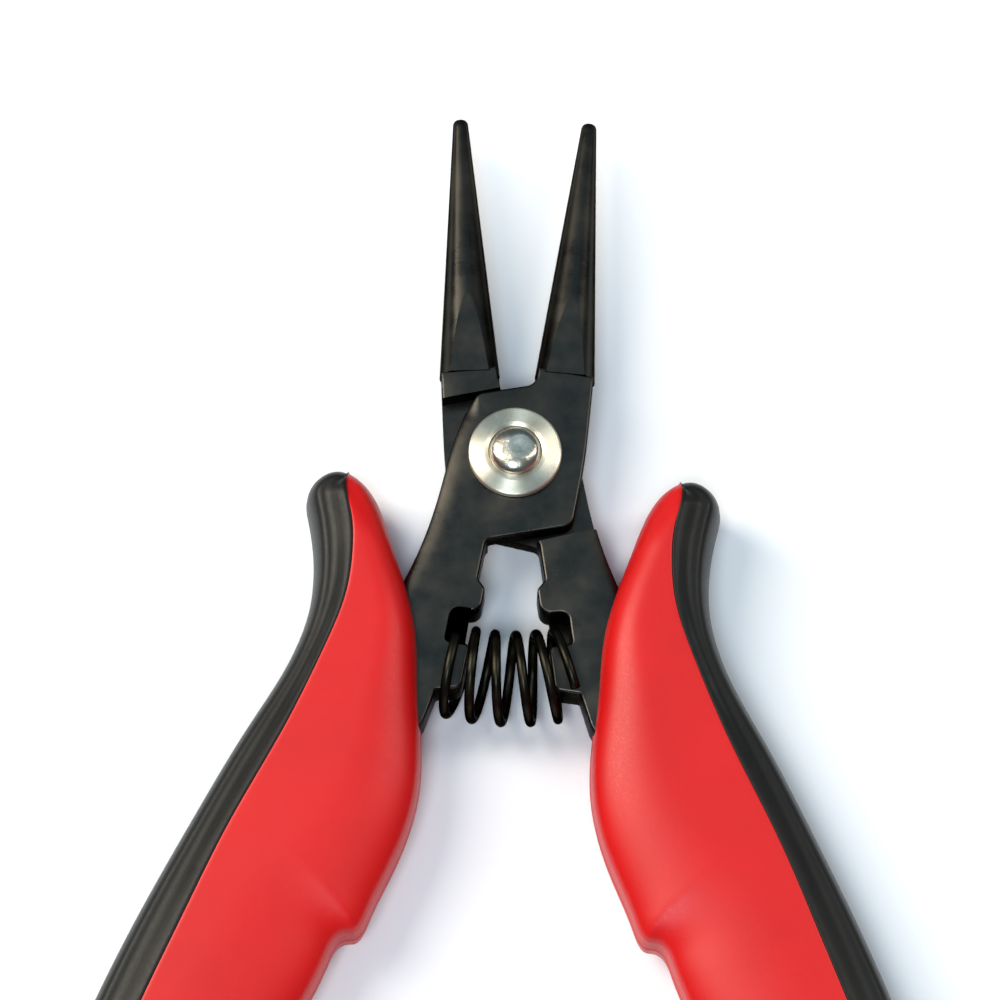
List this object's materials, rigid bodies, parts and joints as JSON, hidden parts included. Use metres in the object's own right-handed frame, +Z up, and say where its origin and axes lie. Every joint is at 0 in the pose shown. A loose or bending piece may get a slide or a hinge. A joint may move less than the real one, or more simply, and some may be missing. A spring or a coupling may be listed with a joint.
{
  "type": "needle nose pliers",
  "caption": "Small spring-opened pliers with smooth round tapered noses, a riveted lap joint and two-colour moulded grips.",
  "frame": {"origin": "under the middle of the tool's box, on the surface that the grips lie on", "axes": "+Y from the handles to the nose tips, +Z up along the pivot, +X to the right seen from above"},
  "size_m": [0.0912, 0.1392, 0.011],
  "materials": {
    "black_oxide_steel": "black oxide, semi-matte, fine ground lines",
    "plated_rivet": "bright nickel, peened and slightly dented",
    "turned_nickel": "nickel plated, lathe turned",
    "black_spring_wire": "oil-blackened spring wire, satin",
    "red_plastic": "moulded hard plastic, satin with a fine grain",
    "black_soft_grip": "soft moulded elastomer, matte"
  },
  "bodies": {
    "rear_body": {"rear_half": "black_oxide_steel", "pivot_rivet": "plated_rivet", "pivot_washer": "turned_nickel", "return_spring": "black_spring_wire", "right_grip_core": "red_plastic", "right_grip_overmould": "black_soft_grip"},
    "front_body": {"front_half": "black_oxide_steel", "left_grip_core": "red_plastic", "left_grip_overmould": "black_soft_grip"}
  },
  "joints": [
    {"name": "jaw_pivot", "type": "hinge", "parent": "rear_body", "child": "front_body", "pos_m": [0, 0.03333, 0.0055], "axis": [0, 0, 1], "range_deg": [0, 18], "stiffness_Nm_per_rad": 2, "springref_deg": -4.13, "deforming": ["return_spring"]}
  ]
}
